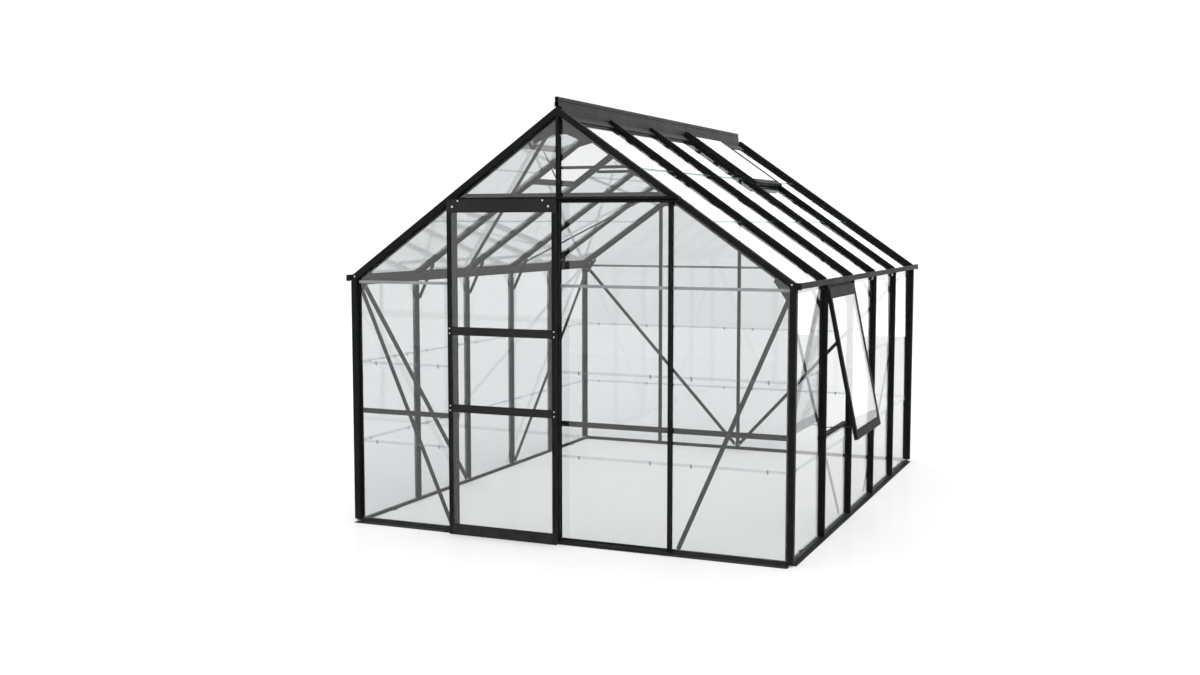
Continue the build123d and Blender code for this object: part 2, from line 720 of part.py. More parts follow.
with BuildPart() as frame_bolts:
    # outside: rafter feet; inside: gusset plates and the ends of the gable braces
    front_face = Plane.XZ
    heads(front_face, [(s * 1250, 1387) for s in (-1, 1)], 4.5, 3.5)
    inside = Plane.XZ.offset(-gusset_face - 3)
    plate_spots = [(1228, 1337), (1206, 1380), (1175, 1402), (24, 2212), (55, 2190), (95, 2160),
                   (130, 2132)]
    with BuildSketch(inside, mode=Mode.PRIVATE) as spots:
        with Locations(*[(s * x, z) for s in (-1, 1) for x, z in plate_spots]):
            Circle(head_radius)
    extrude(spots.sketch, amount=-head_height)
    mirror(about=mid_length)
    for inset, ends, step in ((front_inset, front_brace, -head_height),
                              (length - rear_inset - wall, rear_brace, head_height)):
        heads(Plane.XZ.offset(-inset), [(s * x, z) for s in (-1, 1) for x, z in ends], height=step)
    # inside: heads of the side bars, ends of the side braces and of the knee braces
    bar_spots = [(y, 1322) for y in side_bar_lines]
    heads(Plane.YZ.offset(channel_face), bar_spots, height=-head_height)
    heads(Plane.YZ.offset(-channel_face), bar_spots)
    strap_spots = [(end_in, side_brace_top), (front_foot, side_brace_low),
                   (length - end_in, side_brace_top), (rear_foot, side_brace_low)]
    heads(Plane.YZ.offset(side_brace_face), strap_spots, height=-head_height)
    heads(Plane.YZ.offset(-side_brace_face), strap_spots)
    for y in side_bar_lines:
        heads(Plane.XZ.offset(-(y + beside_bar + 3)),
              [(s * x, z) for s in (-1, 1) for x, z in (knee_foot, knee_head)],
              height=-head_height)
export(frame_bolts.part, "frame_bolts")

# ---- Sliding door ----
door_width = (door_left, door_right)
between_stiles = (door_left + door_stile + 0.5, door_right - door_stile - 0.5)
lip_clear = 12
skin = (door_front, door_front + door_sheet)


def stile(outer, inner):
    """C-section stile, open towards the middle of the door and notched over the sill."""
    reach = sorted((outer, inner))
    back = (outer + door_sheet, inner) if outer < inner else (inner, outer - door_sheet)
    body = (lip_clear, door_top - 6)
    block(Plane.XY, reach, (door_front + 2.5, door_back), body)
    block(Plane.XY, back, (door_front + 2.5, door_back - door_sheet), body, mode=Mode.SUBTRACT)
    block(Plane.XY, reach, skin, (door_bottom, top_rail_low - 0.5))
    outer_edge = sorted((outer, outer + door_sheet if outer < inner else outer - door_sheet))
    block(Plane.XY, outer_edge, (door_front, door_front + 10), (door_bottom, top_rail_low - 0.5))


with BuildPart() as door_stiles:
    stile(door_left, door_left + door_stile)
    stile(door_right, door_right - door_stile)
export(door_stiles.part, "door_stiles")

axle_height = track_low + track_wall + roller_radius + roller_lift
with BuildPart() as door_top_rail:
    block(Plane.XY, door_width, skin, (top_rail_low, door_top))
    block(Plane.XY, between_stiles, (skin[1] - 0.5, door_back - 4), (1761, 1764))
    block(Plane.XY, between_stiles, (skin[1] - 0.5, skin[1] + 6), (door_top - wall, door_top))
    with Locations(*[Location((x, skin[0] + 1, axle_height), (90, 0, 0)) for x in roller_xs]):
        Cylinder(axle_radius + 0.1, 4 * wall, mode=Mode.SUBTRACT)
export(door_top_rail.part, "door_top_rail")


def door_rail(low, high):
    """I-section rail: outer sheet, web and a narrower inner sheet."""
    middle = (low + high) / 2
    block(Plane.XY, between_stiles, skin, (low, high))
    block(Plane.XY, between_stiles, (skin[1] - 0.5, door_front + 14), (middle - 1.5, middle + 1.5))
    block(Plane.XY, between_stiles, (door_front + 12, door_front + 14), (low + 8, high - 8))


with BuildPart() as door_mid_rails:
    for low, high in mid_rails:
        door_rail(low, high)
export(door_mid_rails.part, "door_mid_rails")

with BuildPart() as door_bottom_rail:
    door_rail(door_bottom, bottom_rail_high)
export(door_bottom_rail.part, "door_bottom_rail")

pane_hold = 9
door_panes = [(bottom_rail_high - pane_hold, mid_rails[0][0] + pane_hold),
              (mid_rails[0][1] - pane_hold, mid_rails[1][0] + pane_hold),
              (mid_rails[1][1] - pane_hold, top_rail_low + pane_hold)]
with BuildPart() as door_glass:
    for foot, head in door_panes:
        block(Plane.XY, (door_left + 5, door_right - 5), (skin[1] + 1, skin[1] + 1 + glass),
              (foot, head))
export(door_glass.part, "door_glass")

with BuildPart() as door_screws:
    rail_ends = [z for low, high in mid_rails for z in (low + 9, high - 9)]
    edge_xs = (door_left + door_stile / 2, door_right - door_stile / 2)
    heads(Plane.XZ.offset(-door_front), [(x, z) for x in edge_xs for z in rail_ends], 4, 2)
    heads(Plane.XZ.offset(-door_front), [(x, 1770) for x in (-590, -24)], 6, 3)
export(door_screws.part, "door_screws")

# Nylon hooks that run behind the sill's guide rib
with BuildPart() as door_guides:
    for x in (between_stiles[0] + 40, between_stiles[1] - 40):
        block(Plane.XY, (x - 12, x + 12), (door_front + 14, -12), (24, 31))
        block(Plane.XY, (x - 12, x + 12), (-16, -12), (8, 25))
export(door_guides.part, "door_guides")

wheel_depth = (-22, -12)
with BuildPart() as roller_axles:
    for x in roller_xs:
        for near, far, radius in ((door_front - 3, door_front, 5), (door_front, -11, axle_radius),
                                  (-11, -7, 5)):
            with Locations(Location((x, (near + far) / 2, axle_height), (90, 0, 0))):
                Cylinder(radius, far - near)
export(roller_axles.part, "roller_axles")

for name, x in zip(("left_roller", "right_roller"), roller_xs):
    with BuildPart() as roller:
        axis_plane = Plane(origin=(x, (wheel_depth[0] + wheel_depth[1]) / 2, axle_height),
                           x_dir=(1, 0, 0), z_dir=(0, 1, 0))
        with BuildSketch(Plane(origin=axis_plane.origin, x_dir=(1, 0, 0), z_dir=(0, 0, 1))):
            # half section: x out from the axle, y along it
            with BuildLine():
                Polyline((axle_radius + 0.06, -5), (roller_radius, -5), (roller_radius, -3),
                         (roller_radius - 2, -1.5), (roller_radius - 2, 1.5), (roller_radius, 3),
                         (roller_radius, 5), (axle_radius + 0.06, 5), close=True)
            make_face()
        revolve(axis=Axis(axis_plane.origin, (0, 1, 0)))
    export(roller.part, name)

slot_low, slot_high = axle_height - axle_radius - 1.5, axle_height + axle_radius + 1.5
with BuildPart() as door_track:
    span = (track_left, track_right)
    block(Plane.XY, span, (-track_depth, 0), (track_low, track_high))
    block(Plane.XY, (track_left + 3, track_right - 3), (-track_depth + track_wall, -track_wall),
          (track_low + track_wall, track_high - track_wall), mode=Mode.SUBTRACT)
    block(Plane.XY, (track_left + 3, track_right - 3), (-track_depth - 1, -track_wall),
          (slot_low, slot_high), mode=Mode.SUBTRACT)
    block(Plane.XY, (track_right - 3, track_right), (-6, 0), (track_low - 22, track_low))
export(door_track.part, "door_track")

# ---- Sash leaves and stays ----
tube_wall = 1.5
eye_radius = 5.5


def hollow(frame, x, y, z, open_axis):
    """Rectangular tube, open at both ends of the chosen axis."""
    block(frame, x, y, z)
    bore = [(low + tube_wall, high - tube_wall) for low, high in (x, y, z)]
    bore[open_axis] = (x, y, z)[open_axis]
    block(frame, *bore, mode=Mode.SUBTRACT)


for name, (frame, run, rails, opening, glass_seat) in sashes.items():
    leaf = turned(frame, opening)
    depth = (sash_inner, sash_outer)
    clear_half = sash_half_width - sash_stile - 0.3
    clear = (-clear_half, clear_half)
    top_low, bottom_high = -sash_gap - rails[0], -run + rails[1]
    pivot_y = -(run - sill_overlap) + pivot_above_sill

    with BuildPart() as sash_rails:
        hollow(leaf, clear, (top_low, -sash_gap), depth, 0)
        with BuildSketch(end_on(leaf), mode=Mode.PRIVATE) as bead:
            Circle(bead_radius)
            with Locations((-sash_gap / 2, 0)):
                Rectangle(sash_gap, 2.4)
        extrude(bead.sketch, amount=clear_half, both=True)
        hollow(leaf, clear, (-run, bottom_high), depth, 0)
        for ear in ((-13, -9), (9, 13)):
            block(leaf, ear, (pivot_y - 5, pivot_y + 5), (stay_pivot_depth - 5, sash_inner + 0.5))
        pivot = leaf.location * Location((0, pivot_y, stay_pivot_depth), (0, 90, 0))
        with Locations(pivot):
            Cylinder(pin_radius, 24)
    export(sash_rails.part, f"{name}_rails")

    with BuildPart() as sash_stiles:
        for x in ((-sash_half_width, -clear_half - 0.3), (clear_half + 0.3, sash_half_width)):
            hollow(leaf, x, (-run, -sash_gap), depth, 1)
    export(sash_stiles.part, f"{name}_stiles")

    with BuildPart() as sash_glass:
        block(leaf, clear, (bottom_high + 0.3, top_low - 0.3), sash_glass_depth)
    export(sash_glass.part, f"{name}_glass")

    # the stay always points from its pivot to the peg on the sill
    pivot_at = frame.to_local_coords(pivot.position)
    stay_tilt = degrees(atan2(pivot_at.Y - pivot_y, pivot_at.Z - peg_depth))
    lie = turned(Plane(origin=pivot.position, x_dir=frame.x_dir, z_dir=frame.z_dir), stay_tilt)
    with BuildPart() as stay:
        block(lie, (-stay_width / 2, stay_width / 2), (-stay_thickness / 2, stay_thickness / 2),
              (-stay_length, 0))
        with Locations(lie.location * Location((0, 0, 0), (0, 90, 0))):
            Cylinder(eye_radius, stay_width)
            Cylinder(pin_radius + 0.08, stay_width + 2, mode=Mode.SUBTRACT)
        block(lie, (-4, 4), (-eye_radius - 1, eye_radius + 1), (-stay_length + 9, -13),
              mode=Mode.SUBTRACT)
    export(stay.part, f"{name}_stay")
    print(name, "hinge", [round(v, 3) for v in frame.origin], "stay pivot",
          [round(v, 3) for v in pivot.position], "stay tilt", round(stay_tilt, 2))

print("half width", half_width, "length", length, "apex", round(apex_height, 1),
      "axle height", axle_height)
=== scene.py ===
import json
import math

import bpy
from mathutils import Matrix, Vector


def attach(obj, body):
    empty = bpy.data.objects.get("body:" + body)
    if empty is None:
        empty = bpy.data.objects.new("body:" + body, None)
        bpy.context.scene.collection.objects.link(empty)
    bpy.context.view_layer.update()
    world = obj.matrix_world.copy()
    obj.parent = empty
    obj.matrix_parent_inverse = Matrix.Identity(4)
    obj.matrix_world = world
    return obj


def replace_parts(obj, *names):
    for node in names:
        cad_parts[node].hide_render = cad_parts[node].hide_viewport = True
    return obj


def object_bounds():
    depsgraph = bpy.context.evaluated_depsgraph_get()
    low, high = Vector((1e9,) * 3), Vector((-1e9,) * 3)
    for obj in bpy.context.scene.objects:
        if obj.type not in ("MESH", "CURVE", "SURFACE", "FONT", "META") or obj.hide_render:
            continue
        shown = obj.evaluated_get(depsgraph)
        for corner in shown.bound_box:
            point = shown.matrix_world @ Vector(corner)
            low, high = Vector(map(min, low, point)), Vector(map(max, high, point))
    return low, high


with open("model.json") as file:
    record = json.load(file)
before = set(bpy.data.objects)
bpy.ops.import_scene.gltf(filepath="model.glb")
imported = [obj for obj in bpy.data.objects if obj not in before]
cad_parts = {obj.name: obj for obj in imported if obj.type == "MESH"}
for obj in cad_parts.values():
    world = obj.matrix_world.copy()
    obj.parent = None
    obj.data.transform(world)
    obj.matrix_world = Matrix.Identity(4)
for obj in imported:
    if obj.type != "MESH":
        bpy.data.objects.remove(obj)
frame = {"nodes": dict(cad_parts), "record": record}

cad_low, cad_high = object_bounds()
nodes = frame["nodes"]

# ---- Studio ----
camera_place = (2.909, -6.142, 1.681)
camera_tilt, camera_heading = 85.02, 23.468    # degrees
camera_lens, sensor = 39.206, 36
floor_half = 12.3          # the floor ends here and the white surroundings go on
floor_tone = 0.62
floor_gloss = 0.025
sky_seen, sky_lighting = 1.05, 1.85
mirrored_front, mirrored_back = 1.35, 1.95     # the surroundings as the glass mirrors them


class Tree:
    """A material's or world's node tree, built with short calls."""

    def __init__(self, owner):
        owner.use_nodes = True
        self.tree = owner.node_tree
        self.tree.nodes.clear()

    def add(self, kind, settings=None, **inputs):
        """New node; settings are its properties, inputs are its sockets by name with _ for spaces."""
        node = self.tree.nodes.new(kind)
        for name, value in (settings or {}).items():
            setattr(node, name, value)
        for name, value in inputs.items():
            self.put(node.inputs[name.replace("_", " ")], value)
        return node

    def put(self, socket, value):
        if isinstance(value, bpy.types.NodeSocket):
            self.tree.links.new(value, socket)
        else:
            socket.default_value = value

    def math(self, operation, first, second=0.0, third=0.0, clamp=False):
        node = self.add("ShaderNodeMath", {"operation": operation, "use_clamp": clamp})
        for socket, value in zip(node.inputs, (first, second, third)):
            self.put(socket, value)
        return node.outputs[0]

    def dot(self, first, second):
        node = self.add("ShaderNodeVectorMath", {"operation": "DOT_PRODUCT"})
        self.put(node.inputs[0], first)
        self.put(node.inputs[1], second)
        return node.outputs["Value"]

    def stretch(self, vector, scale):
        node = self.add("ShaderNodeVectorMath", {"operation": "MULTIPLY"})
        self.put(node.inputs[0], vector)
        self.put(node.inputs[1], scale)
        return node.outputs[0]

    def noise(self, vector, scale, detail=2.0, roughness=0.5):
        node = self.add("ShaderNodeTexNoise", Vector=vector, Scale=scale, Detail=detail,
                        Roughness=roughness)
        return node.outputs["Fac"]

    def ramp(self, value, low, high, to_low=0.0, to_high=1.0):
        node = self.add("ShaderNodeMapRange", {"interpolation_type": "SMOOTHSTEP"})
        for socket, number in zip(node.inputs, (value, low, high, to_low, to_high)):
            self.put(socket, number)
        return node.outputs["Result"]

    def mix_colour(self, factor, first, second):
        node = self.add("ShaderNodeMix", {"data_type": "RGBA"})
        self.put(node.inputs[0], factor)
        self.put(node.inputs[6], first)
        self.put(node.inputs[7], second)
        return node.outputs[2]

    def mix_shader(self, factor, first, second):
        node = self.add("ShaderNodeMixShader")
        for socket, value in zip(node.inputs, (factor, first, second)):
            self.put(socket, value)
        return node.outputs[0]

    def bump(self, height, strength, distance, normal=None):
        node = self.add("ShaderNodeBump", Height=height, Strength=strength, Distance=distance)
        if normal is not None:
            self.put(node.inputs["Normal"], normal)
        return node.outputs[0]

    def object_coordinates(self):
        return self.add("ShaderNodeTexCoord").outputs["Object"]

    def finish(self, shader, kind="ShaderNodeOutputMaterial"):
        self.tree.links.new(shader, self.add(kind).inputs["Surface"])


def new_material(name):
    material = bpy.data.materials.new(name)
    return material, Tree(material)


def grey(value, alpha=1.0):
    return (value, value, value, alpha)


# ---- Materials ----
dust_height = 0.16         # ground dust fades out this far up the frame
rubbed_tone = (0.06, 0.063, 0.066, 1)
dust_tone = (0.13, 0.125, 0.115, 1)


def powder_coat(name, dark, light, roughness, specular):
    """Powder-coated aluminium: fine orange peel, faint mottling, rubbed edges and ground dust."""
    material, t = new_material(name)
    place = t.object_coordinates()
    soft_edge = t.add("ShaderNodeBevel", {"samples": 4}, Radius=0.0012).outputs[0]
    true_normal = t.add("ShaderNodeNewGeometry").outputs["Normal"]
    edge = t.ramp(t.dot(soft_edge, true_normal), 0.995, 0.86)
    rubbed = t.math("MULTIPLY", edge, t.ramp(t.noise(place, 38, 5, 0.7), 0.45, 0.75))
    mottle = t.ramp(t.noise(place, 5.5, 6, 0.62), 0.3, 0.72)
    colour = t.mix_colour(mottle, dark, light)
    colour = t.mix_colour(t.math("MULTIPLY", rubbed, 0.35), colour, rubbed_tone)
    height = t.add("ShaderNodeSeparateXYZ", Vector=place).outputs["Z"]
    patches = t.ramp(t.noise(place, 26, 8, 0.7), 0.35, 0.8)
    dust = t.math("MULTIPLY", t.ramp(height, dust_height, 0.0), patches)
    colour = t.mix_colour(t.math("MULTIPLY", dust, 0.10), colour, dust_tone)
    grain = t.noise(place, 900, 2)
    rough = t.math("ADD", t.math("MULTIPLY_ADD", mottle, 0.10, roughness),
                   t.math("MULTIPLY_ADD", dust, 0.18, t.math("MULTIPLY", grain, 0.04)))
    peel = t.bump(grain, 0.16, 0.0004, t.bump(t.noise(place, 260, 2), 0.10, 0.0006, soft_edge))
    surface = t.add("ShaderNodeBsdfPrincipled", Base_Color=colour, Roughness=rough, Normal=peel)
    surface.inputs["Specular IOR Level"].default_value = specular
    t.finish(surface.outputs[0])
    return material


def plastic(name, dark, light, roughness, specular, grain_along=(260, 260, 260)):
    """Extruded or moulded plastic with draw lines along the extrusion."""
    material, t = new_material(name)
    place = t.object_coordinates()
    lines = t.noise(t.stretch(place, grain_along), 1, 3, 0.6)
    tone = t.ramp(t.noise(place, 7, 4), 0.3, 0.7)
    speck = t.ramp(t.noise(place, 420, 2), 0.62, 0.74)
    colour = t.mix_colour(tone, dark, light)
    colour = t.mix_colour(t.math("MULTIPLY", speck, 0.3), colour, grey(light[0] * 1.7))
    surface = t.add("ShaderNodeBsdfPrincipled", Base_Color=colour,
                    Roughness=t.math("MULTIPLY_ADD", lines, 0.14, roughness),
                    Normal=t.bump(lines, 0.2, 0.0003))
    surface.inputs["Specular IOR Level"].default_value = specular
    t.finish(surface.outputs[0])
    return material


def bright_metal(name, dark, light, roughness, along=(900, 900, 90)):
    """Zinc-plated or stainless steel with brushing, a faint spangle and dull spots."""
    material, t = new_material(name)
    place = t.object_coordinates()
    brushed = t.noise(t.stretch(place, along), 1, 3, 0.6)
    spangle = t.add("ShaderNodeTexVoronoi", Vector=place, Scale=420.0).outputs["Color"]
    tone = t.add("ShaderNodeSeparateXYZ", Vector=spangle).outputs["X"]
    dull = t.ramp(t.noise(place, 120, 5, 0.7), 0.55, 0.75)
    blend = t.math("MULTIPLY_ADD", tone, 0.5, t.math("MULTIPLY", brushed, 0.5))
    colour = t.mix_colour(blend, dark, light)
    colour = t.mix_colour(t.math("MULTIPLY", dull, 0.4), colour, grey(0.30))
    rough = t.math("MULTIPLY_ADD", dull, 0.2, t.math("MULTIPLY_ADD", brushed, 0.12, roughness))
    surface = t.add("ShaderNodeBsdfPrincipled", Base_Color=colour, Metallic=1.0, Roughness=rough,
                    Normal=t.bump(brushed, 0.12, 0.0002))
    t.finish(surface.outputs[0])
    return material


glass_index = 1.5
glass_tint = (0.890, 0.897, 0.900, 1)      # what one face of a pane passes to the eye
light_tint = (0.985, 0.987, 0.988, 1)      # and to the light that fills the house
glass_edge_tint = (0.30, 0.50, 0.46, 1)
glass_edge_body = (0.16, 0.33, 0.29, 1)
edge_facing, level_facing = 0.7, 0.3


def pane_glass(name, across):
    """Float glass: clear faces that mirror by angle, faint waves, dust and run marks.

    across is the direction through the panes. Level cut edges, at the laps, show green;
    the upright ones sit in black glazing seal."""
    material, t = new_material(name)
    place = t.object_coordinates()
    geometry = t.add("ShaderNodeNewGeometry")
    # the panes don't bend what is seen through them, so a face's inner side mirrors as its outer side
    flipped = 1 / glass_index - glass_index
    index = t.math("MULTIPLY_ADD", geometry.outputs["Backfacing"], flipped, glass_index)
    wave = t.bump(t.noise(place, 2.2, 1), 0.03, 0.02)
    mirror = t.add("ShaderNodeFresnel", IOR=index).outputs[0]
    path = t.add("ShaderNodeLightPath").outputs
    lighting = t.math("MAXIMUM", path["Is Shadow Ray"], path["Is Diffuse Ray"])
    tint = t.mix_colour(lighting, glass_tint, light_tint)
    clear = t.add("ShaderNodeBsdfTransparent", Color=tint).outputs[0]
    gloss = t.add("ShaderNodeBsdfGlossy", Color=grey(0.96), Roughness=0.012, Normal=wave).outputs[0]
    face = t.mix_shader(mirror, clear, gloss)
    runs = t.ramp(t.noise(t.stretch(place, (34, 34, 3.2)), 1, 4, 0.6), 0.60, 0.88)
    film = t.ramp(t.noise(place, 2.6, 7, 0.66), 0.45, 0.85)
    dust = t.math("MULTIPLY_ADD", runs, 0.006, t.math("MULTIPLY_ADD", film, 0.006, 0.002))
    haze = t.add("ShaderNodeBsdfDiffuse", Color=(0.74, 0.76, 0.77, 1)).outputs[0]
    face = t.mix_shader(dust, face, haze)
    edge_clear = t.add("ShaderNodeBsdfTransparent", Color=glass_edge_tint).outputs[0]
    edge_body = t.add("ShaderNodeBsdfPrincipled", Base_Color=glass_edge_body, Roughness=0.22).outputs[0]
    depth = t.math("MULTIPLY_ADD", t.noise(place, 60, 3), 0.3, 0.35)
    edge = t.mix_shader(depth, edge_clear, edge_body)
    rubber = t.mix_colour(t.noise(place, 300, 3), (0.004, 0.004, 0.004, 1), (0.010, 0.010, 0.010, 1))
    seal = t.add("ShaderNodeBsdfDiffuse", Color=rubber).outputs[0]
    normal = t.add("ShaderNodeTexCoord").outputs["Normal"]
    level = t.math("ABSOLUTE", t.dot(normal, (0.0, 0.0, 1.0)))
    edge = t.mix_shader(t.math("LESS_THAN", level, level_facing), edge, seal)
    facing = t.math("ABSOLUTE", t.dot(normal, across))
    t.finish(t.mix_shader(t.math("LESS_THAN", facing, edge_facing), face, edge))
    return material


def across_panes(name):
    """Direction through a glass node's panes: the normal of its largest faces."""
    mesh = nodes[name].data
    best = max(mesh.polygons, key=lambda face: face.area)
    return tuple(best.normal)


paint = powder_coat("black_powder_coat", (0.0045, 0.0047, 0.0051, 1), (0.0080, 0.0083, 0.0088, 1),
                    0.52, 0.06)
# a lighter, glossier copy of the same black powder coat: painted light for the broad faces that catch more
# of the light
lit_faces_paint = powder_coat("black_coat_painted_lit", (0.0100, 0.0103, 0.0108, 1), (0.0145, 0.0149, 0.0156, 1),
                         0.46, 0.10)
plate = powder_coat("black_plate", (0.0085, 0.0088, 0.0093, 1), (0.0135, 0.0139, 0.0145, 1), 0.46, 0.12)
cap_plastic = plastic("black_pvc", (0.0040, 0.0040, 0.0043, 1), (0.0075, 0.0075, 0.0081, 1), 0.52, 0.06,
                      (420, 12, 120))
grey_plastic = plastic("grey_pvc", (0.17, 0.175, 0.18, 1), (0.23, 0.235, 0.24, 1), 0.46, 0.25, (8, 300, 420))
nylon = plastic("nylon", (0.62, 0.60, 0.54, 1), (0.74, 0.72, 0.66, 1), 0.42, 0.4)
rubber = plastic("sash_rubber", (0.004, 0.004, 0.004, 1), (0.009, 0.009, 0.009, 1), 0.62, 0.08)
steel = bright_metal("bright_steel", (0.50, 0.51, 0.52, 1), (0.78, 0.79, 0.80, 1), 0.30)
spring_steel = bright_metal("spring_steel", (0.16, 0.165, 0.17, 1), (0.30, 0.305, 0.31, 1), 0.38)

slot_material = {"black_powder_coat": paint, "black_plate": plate, "black_pvc": cap_plastic,
                 "grey_pvc": grey_plastic, "nylon": nylon, "bright_steel": steel}
# rails, sills and ridge cap get the lighter copy of the black paint, painted light on faces that catch more
# light
painted_lit_faces = ("door_top_rail", "door_mid_rails", "door_bottom_rail", "ridge_cap", "front_sill",
               "rear_sill")
slot_of = {part["node"]: part["material_slot"] for part in frame["record"]["subparts"]}
for name, piece in nodes.items():
    slot = slot_of[name]
    if slot == "glass":
        material = pane_glass(name + "_pane", across_panes(name))
    elif name in painted_lit_faces:
        material = lit_faces_paint
    else:
        material = slot_material[slot]
    for holder in piece.material_slots:
        holder.material = material
    if not piece.material_slots:
        piece.data.materials.append(material)

# ---- Fasteners, clips and sash seals in detail ----
mm = 0.001


def separate_solids(name):
    """Low and high corner of each separate solid of a CAD node."""
    mesh = nodes[name].data
    corner = [tuple(round(value, 6) for value in vertex.co) for vertex in mesh.vertices]
    above = {point: point for point in corner}

    def top(point):
        while above[point] != point:
            point = above[point]
        return point

    for face in mesh.polygons:
        first = top(corner[face.vertices[0]])
        for index in face.vertices[1:]:
            above[top(corner[index])] = first
    groups = {}
    for point in above:
        groups.setdefault(top(point), []).append(point)
    boxes = []
    for points in groups.values():
        boxes.append((Vector(map(min, zip(*points))), Vector(map(max, zip(*points)))))
    return boxes


def axis_of(low, high, pick):
    """Index of the axis along which a solid is shortest (pick=min) or longest (pick=max)."""
    size = list(high - low)
    return size.index(pick(size))


class Skin:
    """Points and faces of one piece that is being made."""

    def __init__(self):
        self.points, self.faces = [], []

    def rings(self, rings, loop=False):
        """Skin over a row of rings with equal point counts; a row that isn't a loop gets end faces."""
        count, base = len(rings[0]), len(self.points)
        for ring in rings:
            self.points.extend(ring)
        rows = len(rings) if loop else len(rings) - 1
        for row in range(rows):
            this, after = base + row * count, base + (row + 1) % len(rings) * count
            for spot in range(count):
                beside = (spot + 1) % count
                self.faces.append((this + spot, this + beside, after + beside, after + spot))
        if not loop:
            last = base + rows * count
            self.faces.append(tuple(range(base + count - 1, base - 1, -1)))
            self.faces.append(tuple(range(last, last + count)))

    def turned(self, foot, axis, profile, sides, lobes=4):
        """Rings about an axis; each is a radius and a height in mm, and how deep its lobes are."""
        across = axis.orthogonal().normalized()
        beside = axis.cross(across)
        rings = []
        for radius, height, lobe in profile:
            ring = []
            for step in range(sides):
                angle = 2 * math.pi * step / sides
                reach = radius * mm * (1 + lobe * math.cos(lobes * angle))
                ring.append(foot + axis * height * mm + across * reach * math.cos(angle)
                            + beside * reach * math.sin(angle))
            rings.append(ring)
        self.rings(rings)

    def make(self, name, material, body, smooth=False):
        mesh = bpy.data.meshes.new(name)
        mesh.from_pydata(self.points, [], self.faces)
        mesh.materials.append(material)
        mesh.polygons.foreach_set("use_smooth", [smooth] * len(mesh.polygons))
        piece = bpy.data.objects.new(name, mesh)
        bpy.context.scene.collection.objects.link(piece)
        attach(piece, body)
        return piece


washer_share, hex_share = 0.28, 0.80      # heights as shares of the whole fastener


def hex_set(skin, foot, axis, radius, height):
    """Washer, chamfered nut and the bolt's end standing out of it."""
    washer, nut = height * washer_share, height * hex_share
    skin.turned(foot, axis, [(radius, 0, 0), (radius, washer * 0.7, 0), (radius * 0.94, washer, 0)], 32)
    flat = radius * 0.84
    skin.turned(foot, axis, [(flat * 0.94, washer, 0), (flat, washer * 1.3, 0), (flat, nut * 0.9, 0),
                             (flat * 0.88, nut, 0)], 6)
    skin.turned(foot, axis, [(radius * 0.45, nut * 0.9, 0), (radius * 0.45, height * 0.93, 0),
                             (radius * 0.36, height, 0)], 20)


rear_bolts = 3.0           # bolts this far along the house sit inside the rear gable and face forward
world_axes = (Vector((1, 0, 0)), Vector((0, 1, 0)), Vector((0, 0, 1)))
bolts = Skin()
for low, high in separate_solids("frame_bolts"):
    along = axis_of(low, high, min)
    spot = (low + high) / 2
    if along == 0:
        sign = -1 if spot.x > 0 else 1
    else:
        sign = 1 if 0 <= spot.y <= rear_bolts else -1
    axis = world_axes[along] * sign
    size = high - low
    height = size[along]
    hex_set(bolts, spot - axis * height / 2, axis, max(size) / 2 / mm, height / mm)
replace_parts(bolts.make("bolts_and_nuts", steel, "frame"), "frame_bolts")

cross_depth = 0.42         # how far the driver cross cuts in between its four arms
forward, backward = Vector((0, -1, 0)), Vector((0, 1, 0))
screws = Skin()
for low, high in separate_solids("door_screws"):
    radius, height = (high.x - low.x) / 2 / mm, (high.y - low.y) / mm
    foot = Vector(((low.x + high.x) / 2, high.y, (low.z + high.z) / 2))
    domed_head = [(radius, 0, 0), (radius, height * 0.3, 0), (radius * 0.93, height * 0.62, 0),
                  (radius * 0.78, height * 0.88, 0), (radius * 0.6, height, 0)]
    cross = [(radius * 0.36, height, cross_depth), (radius * 0.28, height * 0.35, cross_depth)]
    screws.turned(foot, forward, domed_head + cross, 40)
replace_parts(screws.make("cross_head_screws", steel, "door"), "door_screws")

axles = Skin()
shaft_radius, hex_height, nut_height = 3.0, 3.0, 4.0
buried = 0.2               # the shaft starts inside its head and ends inside its nut
for low, high in separate_solids("roller_axles"):
    spot = Vector(((low.x + high.x) / 2, 0, (low.z + high.z) / 2))
    radius, run = (high.x - low.x) / 2 / mm, (high.y - low.y) / mm
    front = spot + Vector((0, low.y, 0))
    axles.turned(front, backward, [(radius * 0.86, 0, 0), (radius, 0.5, 0), (radius, hex_height, 0)], 6)
    shaft = [(shaft_radius, hex_height - buried, 0), (shaft_radius, run - nut_height + buried, 0)]
    axles.turned(front, backward, shaft, 28)
    back = spot + Vector((0, high.y, 0))
    axles.turned(back, forward, [(radius * 0.9, 0, 0), (radius, 0.4, 0), (radius, nut_height, 0)], 28)
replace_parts(axles.make("roller_axle_bolts", steel, "door"), "roller_axles")

# Z-shaped spring clips: over the foot of one pane, under it and down the face of the next;
# each point is outward and up from the clip's middle, in mm
clip_path = [(0.0, 11.0), (0.0, 4.0), (0.0, -2.6), (-0.6, -3.5), (-3.1, -3.9), (-3.7, -4.9),
             (-3.7, -11.0)]
clip_half_width, clip_half_sheet = 4.0, 0.4
clips = Skin()
for low, high in separate_solids("glazing_clips"):
    spot = (low + high) / 2
    thin = axis_of(low, high, min)
    outward = world_axes[thin] * (1 if spot[thin] > ((cad_low + cad_high) / 2)[thin] else -1)
    across = world_axes[1 - thin]
    rings = []
    for step, (out, up) in enumerate(clip_path):
        before, after = clip_path[max(step - 1, 0)], clip_path[min(step + 1, len(clip_path) - 1)]
        run = Vector((after[0] - before[0], after[1] - before[1])).normalized()
        ring = []
        for side, sheet in ((-1, -1), (1, -1), (1, 1), (-1, 1)):
            shift = clip_half_sheet * sheet
            rise = Vector((0, 0, (up + run.x * shift) * mm))
            ring.append(spot + across * side * clip_half_width * mm
                        + outward * (out - run.y * shift) * mm + rise)
        rings.append(ring)
    clips.rings(rings)
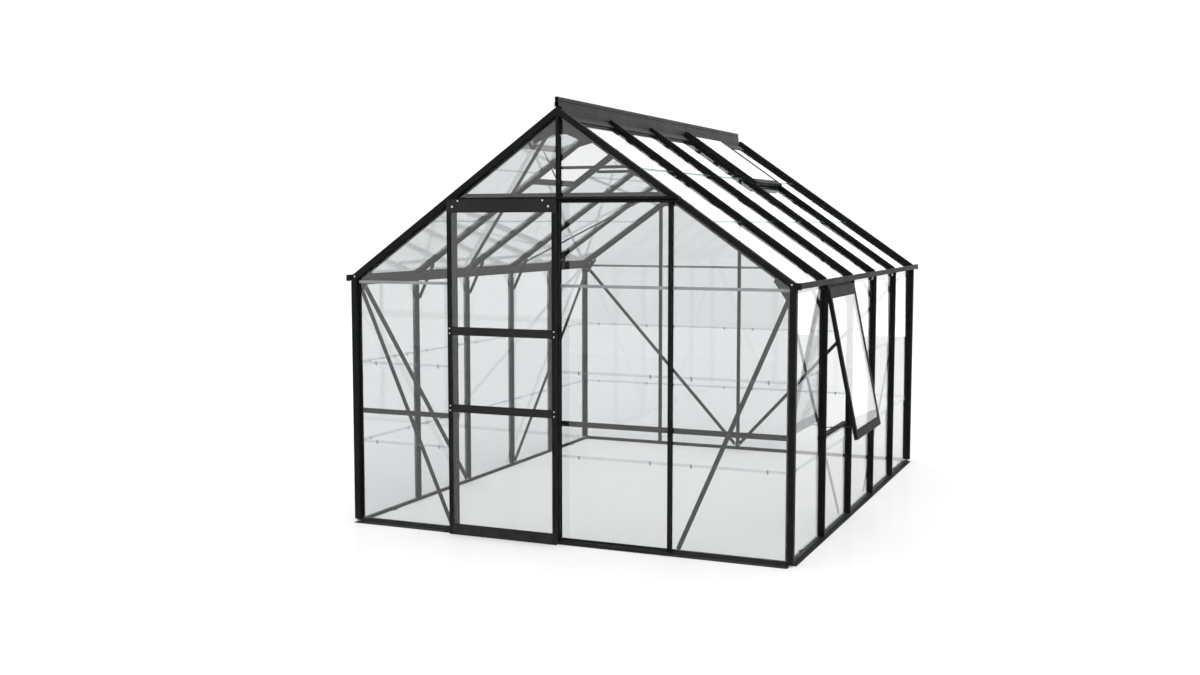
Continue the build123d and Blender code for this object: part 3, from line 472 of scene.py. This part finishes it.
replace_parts(clips.make("spring_clips", spring_steel, "frame"), "glazing_clips")

# Rubber bead round both faces of each sash pane: inset from the pane's edge and height, in mm
bead_section = [(0, 0), (8, 0), (7.4, 1.0), (5, 2.0), (2, 2.2), (0, 1.8)]
for sash in ("window", "left_vent", "right_vent"):
    mesh = nodes[sash + "_glass"].data
    points = [vertex.co for vertex in mesh.vertices]
    middle = sum(points, Vector()) / len(points)
    through = Vector(across_panes(sash + "_glass"))
    level = Vector((0, 1, 0))      # every sash is hinged along the house
    up = through.cross(level)
    reach = []
    for way in (level, up, through):
        reach.append(max(abs((point - middle).dot(way)) for point in points))
    bead = Skin()
    for face in (-1, 1):
        rings = []
        for side, end in ((-1, -1), (1, -1), (1, 1), (-1, 1)):
            ring = []
            for inset, height in bead_section:
                ring.append(middle + level * side * (reach[0] - inset * mm)
                            + up * end * (reach[1] - inset * mm)
                            + through * face * (reach[2] + height * mm))
            rings.append(ring)
        bead.rings(rings, loop=True)
    bead.make(sash + "_glazing_bead", rubber, sash)

# ---- Floor, surroundings and camera ----
middle = (cad_low + cad_high) / 2
floor_mesh = bpy.data.meshes.new("floor")
floor_mesh.from_pydata([(middle.x + sx * floor_half, middle.y + sy * floor_half, 0.0)
                        for sx, sy in ((-1, -1), (1, -1), (1, 1), (-1, 1))], [], [(0, 1, 2, 3)])
floor = bpy.data.objects.new("floor", floor_mesh)
bpy.context.scene.collection.objects.link(floor)
material, t = new_material("floor")
tone = t.mix_colour(t.noise(t.object_coordinates(), 1.5, 4), grey(floor_tone), grey(floor_tone * 1.02))
matt = t.add("ShaderNodeBsdfDiffuse", Color=tone).outputs[0]
shine = t.add("ShaderNodeBsdfGlossy", Roughness=0.16).outputs[0]
t.finish(t.mix_shader(floor_gloss, matt, shine))
floor_mesh.materials.append(material)

world = bpy.data.worlds.new("studio")
bpy.context.scene.world = world
t = Tree(world)
path = t.add("ShaderNodeLightPath").outputs
glow = t.math("MULTIPLY_ADD", path["Is Camera Ray"], sky_seen - sky_lighting, sky_lighting)
direction = t.add("ShaderNodeTexCoord").outputs["Generated"]
towards = t.add("ShaderNodeSeparateXYZ", Vector=direction).outputs["Y"]
mirrored = t.ramp(towards, -0.3, 0.3, mirrored_front, mirrored_back)
glow = t.math("MULTIPLY_ADD", path["Is Glossy Ray"], t.math("SUBTRACT", mirrored, glow), glow)
t.finish(t.add("ShaderNodeBackground", Color=(1.0, 1.0, 1.0, 1), Strength=glow).outputs[0],
         "ShaderNodeOutputWorld")

camera_data = bpy.data.cameras.new("camera")
camera = bpy.data.objects.new("camera", camera_data)
bpy.context.scene.collection.objects.link(camera)
camera.location = camera_place
camera.rotation_euler = (math.radians(camera_tilt), 0, math.radians(camera_heading))
camera_data.lens, camera_data.sensor_width = camera_lens, sensor
camera_data.clip_end = 200
bpy.context.scene.camera = camera

bpy.context.scene.view_settings.view_transform = "Standard"
bpy.context.scene.cycles.transparent_max_bounces = 64
bpy.context.scene.cycles.max_bounces = 16
